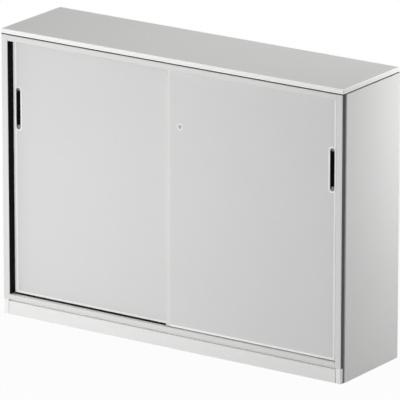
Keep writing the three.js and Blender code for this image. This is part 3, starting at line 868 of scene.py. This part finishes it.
pale_silver = textured(
    "pale silver lacquer", (0.97, 0.97, 0.965), metallic=0.08,
    relief=0.00001, flecks=(0.05, 1500), patches=(0.03, 6), gloss=(0.32, 0.15),
)
# Mid grey on the black plastic end slopes: painted light standing for the light they catch.
slope_painted_light_grey = moulding(
    "grey painted light on black plastic", 0.3, 0.3, relief=0.00003, fleck_amount=0.2, unevenness=0.2, roughness=0.45
)
cup_wall = 0.002
cup_floor = 0.0015
cup_round = 0.004
cup_round_steps = 5
cup_chamfer = 0.001
cup_brim = 0.0002
rim_skirt = 0.0004
rim_dome = ((0.88, 0.86), (0.6, 1), (0.35, 1), (0.1, 0.8))
lip_depth = 0.003
lip_thickness = 0.0007
lip_bend = 0.7
lip_start = 0.3
lip_shoulder = 0.0006
lip_gap = 0.0001
slope_length = 0.015
slope_skin = 0.0006
slope_gap = 0.0002
slope_dish = 0.0012
slope_steps = 10
slope_smooth_below = 50
points_across = 9


def stadium_rings(width, height, section, centre):
    """Upright rings with half round ends, from pairs of widening and depth."""
    return [
        outline_at(stadium(width + 2 * wider, height + 2 * wider), Y, along, centre)
        for wider, along in section
    ]


for side in hands:
    body = f"{side}_door"
    rim_low, rim_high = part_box(f"{side}_handle_rim")
    cup_low, cup_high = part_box(f"{side}_handle_cup")
    middle = axis_through(f"{side}_handle_cup", Y, cup_low.y)
    width = cup_high.x - cup_low.x - 2 * cup_wall
    height = cup_high.z - cup_low.z - 2 * cup_wall
    depth = cup_high.y - cup_low.y
    floor_depth = depth - cup_floor
    section = [
        (cup_wall - cup_chamfer, depth), (cup_wall, depth - cup_chamfer), (cup_wall, cup_brim),
        (0, cup_brim), (0, floor_depth - cup_round),
    ]
    for step in range(1, cup_round_steps + 1):
        turn = math.pi / 2 * step / cup_round_steps
        inset = cup_round * (1 - math.cos(turn))
        section.append((-inset, floor_depth - cup_round * (1 - math.sin(turn))))
    cup = skin(f"grip_cup_{side}", stadium_rings(width, height, section, middle))
    fit(cup, black_plastic, "plastic_black", body, f"{side}_handle_cup")

    rim_width = (rim_high.x - rim_low.x - width) / 2
    proud = cup_low.y - rim_low.y
    seat = cup_low.y - rim_high.y
    section = [(rim_width, -seat), (rim_width, -seat - rim_skirt)]
    section += [(rim_width * across, -proud * up) for across, up in rim_dome]
    section += [
        (-lip_bend * lip_thickness, -lip_start * proud), (-lip_thickness, lip_shoulder),
        (-lip_thickness, lip_depth), (-lip_gap, lip_depth), (-lip_gap, -seat),
    ]
    rim = skin(f"grip_rim_{side}", stadium_rings(width, height, section, middle), closed=True)
    fit(rim, pale_silver, "rim_silver", body, f"{side}_handle_rim")

    slopes = bmesh.new()
    round_reach = width / 2 - lip_thickness - slope_gap
    tip = height / 2 - lip_thickness - slope_gap
    for up in (1, -1):
        rings = []
        for step in range(slope_steps + 1):
            share = step / slope_steps
            out = tip - share * slope_length
            past_straight = max(0, out - (height - width) / 2)
            half = math.sqrt(max(round_reach**2 - past_straight**2, slope_skin**2))
            deep = (floor_depth - slope_skin - slope_gap) * share
            face, back = [], []
            for i in range(points_across):
                across = 2 * i / (points_across - 1) - 1
                dish = slope_dish * (1 - across**2) * math.sin(math.pi * share)
                point = middle + Vector((across * half, deep + dish, up * out))
                face.append(point)
                back.append(point + Vector((0, slope_skin, 0)))
            rings.append(face + back[::-1])
        add_skin(slopes, rings, False)
    slope_pair = finished_mesh(f"grip_slopes_{side}", slopes, slope_smooth_below)
    fit(slope_pair, slope_painted_light_grey, "plastic_black", body)

# Rollers
# Two grooved nylon rollers carry each door, on steel axles in black housings let into its back.
# The groove in each roller keeps it on the track's rib.

nylon = textured(
    "natural nylon", (0.76, 0.75, 0.7),
    relief=0.00003, flecks=(0.04, 900), patches=(0.04, 6), gloss=(0.42, 0.1),
)
running_radius = 0.0085
groove_half = 0.002
turned_arris = 0.0006
roller_bore = 0.0027
fine_round_sides = 40
axle_radius = 0.0025
pin_bore_radius = 0.0026
housing_arris = 0.0008
chamber_arris = 0.001
chamber_gap_side = 0.0004
chamber_gap_round = 0.0015
for side in hands:
    for place in ("outer", "inner"):
        name = f"{side}_{place}"
        low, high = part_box(f"{name}_roller")
        middle = (low + high) / 2
        radius = (high.x - low.x) / 2
        half = (high.y - low.y) / 2
        half_profile = [
            (roller_bore, -half), (radius - turned_arris, -half), (radius, turned_arris - half),
            (radius, -groove_half - turned_arris / 2), (running_radius + turned_arris / 2, -groove_half),
            (running_radius, turned_arris / 2 - groove_half),
        ]
        profile = half_profile + [(reach, -along) for reach, along in half_profile[::-1]]
        wheel = turned(f"wheel_{name}", profile, Y, middle, fine_round_sides, closed=True)
        fit(wheel, nylon, "nylon_white", f"{name}_roller", f"{name}_roller")

        reach = radius + chamber_gap_round
        chamber_half = half + chamber_gap_side
        low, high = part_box(f"{name}_roller_axle")
        half = (high.y - low.y) / 2
        profile = [
            (axle_radius - turned_arris, -half), (axle_radius, turned_arris - half),
            (axle_radius, half - turned_arris), (axle_radius - turned_arris, half),
        ]
        pin = turned(f"wheel_pin_{name}", profile, Y, middle, round_sides)
        fit(pin, zinc_plate, "steel_plated", f"{side}_door", f"{name}_roller_axle")

        low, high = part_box(f"{name}_roller_housing")
        chamber = board(
            "wheel chamber",
            (middle.x - reach, middle.y - chamber_half, low.z - overrun),
            (middle.x + reach, middle.y + chamber_half, middle.z + reach),
            chamber_arris,
        )
        width = high.y - low.y
        pin_bore = rods("pin bore", [middle], pin_bore_radius, Y, -width, width, round_sides)
        housing = carve(board(f"wheel_housing_{name}", low, high, housing_arris), chamber, pin_bore)
        fit(housing, black_plastic, "plastic_black", f"{side}_door", f"{name}_roller_housing")

# Top guides
# A spring-loaded block of black plastic sits in a slot in each door's upper edge, twice per door.
# Its tongue stands up into the guide channel.

tongue_length = 0.03
tongue_thickness = 0.006
tongue_height = 0.012
tongue_taper = 0.002
block_round = 0.0008
shoulder_rise = 0.001
for side in hands:
    for place in ("outer", "inner"):
        low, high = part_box(f"{side}_{place}_top_guide")
        centre = (low.x + high.x) / 2
        seat = high.z - tongue_height
        left, right = centre - tongue_length / 2, centre + tongue_length / 2
        outline = [
            (low.x, low.z), (high.x, low.z), (high.x, seat), (right, seat), (right - tongue_taper, high.z),
            (left + tongue_taper, high.z), (left, seat), (low.x, seat),
        ]
        outline = rounded(outline, block_round, steps=3)
        block = bar(f"slide_block_{side}_{place}", outline, Y, low.y, high.y)
        shoulder = (high.y - low.y - tongue_thickness) / 2
        for start, end in ((low.y - overrun, low.y + shoulder), (high.y - shoulder, high.y + overrun)):
            shaving_low = (low.x - overrun, start, seat + shoulder_rise)
            shaving_high = (high.x + overrun, end, high.z + overrun)
            carve(block, board("shaving", shaving_low, shaving_high, cutter_arris, 1))
        fit(block, black_plastic, "plastic_black", f"{side}_door", f"{side}_{place}_top_guide")

# Lock
# A round cylinder lock with a pale silver flange stands in the right door. The key turns its
# nickelled barrel and a flat cam behind the door, which reaches for the steel strike let into the
# left door.

dark_nickel = nickel("dark nickel", (0.5, 0.5, 0.505), 0.3)
sleeve_radius = 0.011
sleeve_sides = 48
turning_gap = 0.0001
flange_edge = 0.0003
flange_round = ((0.0008, 0.0003), (0.0022, 0))
mouth_round = ((0.0022, 0.0001), (0.0006, 0.0008), (0.0001, 0.0015))
barrel_chamfer = 0.0008
tail_radius = 0.003
small_chamfer = 0.0003
key_slot_half = 0.0008
key_slot_reach = 0.004
key_slot_depth = 0.007
key_slot_arris = 0.0003

low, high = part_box("lock_housing")
lock_axis = axis_through("lock_housing", Y)
flange_radius = (high.x - low.x) / 2
flange_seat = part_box("right_door_panel")[0].y - turning_gap
flange_front, barrel_end = low.y, high.y
low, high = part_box("lock_rotor")
barrel_radius = (high.x - low.x) / 2
profile = [
    (sleeve_radius, barrel_end), (sleeve_radius, flange_seat), (flange_radius, flange_seat),
    (flange_radius, flange_seat - flange_edge),
]
profile += [(flange_radius - inset, flange_front + deep) for inset, deep in flange_round]
profile += [(barrel_radius + outset, flange_front + deep) for outset, deep in mouth_round]
profile.append((barrel_radius + turning_gap, barrel_end))
sleeve = turned("lock_sleeve", profile, Y, lock_axis, sleeve_sides, closed=True)
fit(sleeve, pale_silver, "rim_silver", "right_door", "lock_housing")
profile = [
    (barrel_radius - barrel_chamfer, low.y), (barrel_radius, low.y + barrel_chamfer),
    (barrel_radius, barrel_end), (tail_radius, barrel_end), (tail_radius, high.y - small_chamfer),
    (tail_radius - small_chamfer, high.y),
]
barrel = turned("lock_barrel_core", profile, Y, lock_axis, fine_round_sides)
key_slot = board(
    "key slot",
    (lock_axis.x - key_slot_half, low.y - overrun, lock_axis.z - key_slot_reach),
    (lock_axis.x + key_slot_half, low.y + key_slot_depth, lock_axis.z + key_slot_reach),
    key_slot_arris, 2,
)
carve(barrel, key_slot)
fit(barrel, dark_nickel, "rim_silver", "lock_barrel", "lock_rotor")

low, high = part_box("lock_cam")
section = [
    (-small_chamfer, low.y), (0, low.y + small_chamfer),
    (0, high.y - small_chamfer), (-small_chamfer, high.y),
]
cam_rings = stadium_rings(high.x - low.x, high.z - low.z, section, axis_through("lock_cam", Y))
tail_ends = low.y - overrun, high.y + overrun
tail_bore = rods("tail bore", [lock_axis], tail_radius + turning_gap, Y, *tail_ends, round_sides)
cam = carve(skin("lock_latch", cam_rings), tail_bore)
fit(cam, zinc_plate, "steel_plated", "lock_barrel", "lock_cam")

strike_arris = 0.0004
strike_slot_width = 0.005
strike_slot_height = 0.018
strike_screw_radius = 0.002
strike_screw_drop = Vector((0, 0, 0.0155))
low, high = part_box("lock_strike")
middle = (low + high) / 2
strike_slot = bar(
    "strike slot", stadium(strike_slot_width, strike_slot_height), Y, -overrun, overrun, middle
)
screw_middles = [middle + strike_screw_drop, middle - strike_screw_drop]
screw_holes = rods(
    "strike screw holes", screw_middles, strike_screw_radius, Y, -overrun, overrun, small_round_sides
)
strike = carve(board("lock_catch", low, high, strike_arris, 2), strike_slot, screw_holes)
fit(strike, zinc_plate, "steel_plated", "left_door", "lock_strike")

# Studio
# A wide white floor in an even white surrounding, under soft lamps: two from the front left, the
# lower one small, one from above, and two small ones from behind on the right. The floor keeps the
# cabinet's shadow, and the patch underneath it shows no white of its own.

floor_reach = 9
floor_sides = 64
floor_drop = 0.0005
floor_colour = (0.5, 0.5, 0.5, 1)
even_white = 0.96
fade_start = 1.0
fade_end = 2.5
surrounding_light = 0.3


def seen_directly(tree):
    """1 for what the camera, a reflection or a view through glass shows, and 0 for light on a face."""
    rays = tree.nodes.new("ShaderNodeLightPath").outputs
    seen = maths(tree, "MAXIMUM", rays["Is Camera Ray"], rays["Is Glossy Ray"])
    return maths(tree, "MAXIMUM", seen, rays["Is Transmission Ray"])


floor_shape = bmesh.new()
bmesh.ops.create_circle(floor_shape, cap_ends=True, radius=floor_reach, segments=floor_sides)
floor = finished_mesh("studio_floor", floor_shape)
floor.location.z = -floor_drop
floor_material = bpy.data.materials.new("studio floor")
floor_material.use_nodes = True
tree = floor_material.node_tree
nodes, links = tree.nodes, tree.links
nodes.clear()
output = nodes.new("ShaderNodeOutputMaterial")
lit = nodes.new("ShaderNodeBsdfDiffuse")
lit.inputs["Color"].default_value = floor_colour
plain = nodes.new("ShaderNodeEmission")
mixed = nodes.new("ShaderNodeMixShader")
distance = nodes.new("ShaderNodeVectorMath")
distance.operation = "LENGTH"
links.new(nodes.new("ShaderNodeTexCoord").outputs["Object"], distance.inputs[0])
share = nodes.new("ShaderNodeMapRange")
share.interpolation_type = "SMOOTHSTEP"
for label, value in (("From Min", fade_start), ("From Max", fade_end), ("To Min", even_white)):
    share.inputs[label].default_value = value
links.new(distance.outputs["Value"], share.inputs["Value"])
links.new(maths(tree, "MULTIPLY", share.outputs["Result"], seen_directly(tree)), mixed.inputs["Fac"])
links.new(lit.outputs[0], mixed.inputs[1])
links.new(plain.outputs[0], mixed.inputs[2])
links.new(mixed.outputs[0], output.inputs["Surface"])
floor.data.materials.append(floor_material)

shade_inset = 0.0035
shade_top = -0.0002
shade_bottom = -0.0006
shade_arris = 0.0001
low = Vector((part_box("left_side_cladding")[0].x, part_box("plinth_front_board")[0].y, shade_bottom))
high = Vector((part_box("right_side_cladding")[1].x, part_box("plinth_rear_board")[1].y, shade_top))
inset = Vector((shade_inset, shade_inset, 0))
shaded_floor = board("studio_floor_underneath", low + inset, high - inset, shade_arris, 1)
shade_material = bpy.data.materials.new("floor in the cabinet's own shade")
shade_material.use_nodes = True
shade_material.node_tree.nodes["Principled BSDF"].inputs["Base Color"].default_value = floor_colour
shaded_floor.data.materials.append(shade_material)

world = bpy.data.worlds.new("studio surrounding")
world.use_nodes = True
bpy.context.scene.world = world
tree = world.node_tree
background = tree.nodes["Background"]
background.inputs["Color"].default_value = (1, 1, 1, 1)
strength = tree.nodes.new("ShaderNodeMapRange")
strength.inputs["To Min"].default_value = surrounding_light
tree.links.new(seen_directly(tree), strength.inputs["Value"])
tree.links.new(strength.outputs["Result"], background.inputs["Strength"])


def soft_lamp(name, place, aim, size, watts):
    """A square lamp that lights faces but isn't seen, nor mirrored."""
    data = bpy.data.lights.new(name, "AREA")
    data.shape = "SQUARE"
    data.size = size
    data.energy = watts
    lamp = bpy.data.objects.new(name, data)
    lamp.location = place
    lamp.rotation_euler = (Vector(aim) - Vector(place)).to_track_quat("-Z", "Y").to_euler()
    lamp.visible_camera = False
    lamp.visible_glossy = False
    bpy.context.scene.collection.objects.link(lamp)


soft_lamp("front lamp", (-1.2, -4.6, 1.2), (-0.2, 0, 0.6), 2.0, 110)
soft_lamp("low left lamp", (-0.85, -1.6, 0.2), (-0.75, -0.2, 0.25), 0.5, 3.4)
soft_lamp("top lamp", (0.1, 0.4, 3.4), (0, 0, 1.1), 1.8, 30.5)
soft_lamp("side lamp", (1.45, 1.0, 1.35), (0.8, 0.1, 0.8), 0.4, 8.5)
soft_lamp("low side lamp", (1.7, 0.9, 0.9), (0.8, 0.15, 0.6), 0.4, 4.3)

# Camera
# A long lens from the front right, a little above the cabinet, as the picture's viewing angle asks.
# It is aimed at the cabinet's middle, moved a little to the right and down.

viewing_azimuth = math.radians(34.19)
viewing_elevation = math.radians(16.76)
camera_distance = 22.52
camera_lens = 519.7
aim_height = 0.585
aim_right = 0.0079
aim_up = -0.0309

camera = bpy.data.objects.new("camera", bpy.data.cameras.new("camera"))
camera.data.lens = camera_lens
camera.rotation_euler = (math.pi / 2 - viewing_elevation, 0, viewing_azimuth)
rightward, upward, backward = camera.rotation_euler.to_matrix().col
aim = Vector((0, 0, aim_height)) + aim_right * rightward + aim_up * upward
camera.location = aim + camera_distance * backward
bpy.context.scene.collection.objects.link(camera)
bpy.context.scene.camera = camera
bpy.context.scene.view_settings.view_transform = "Standard"
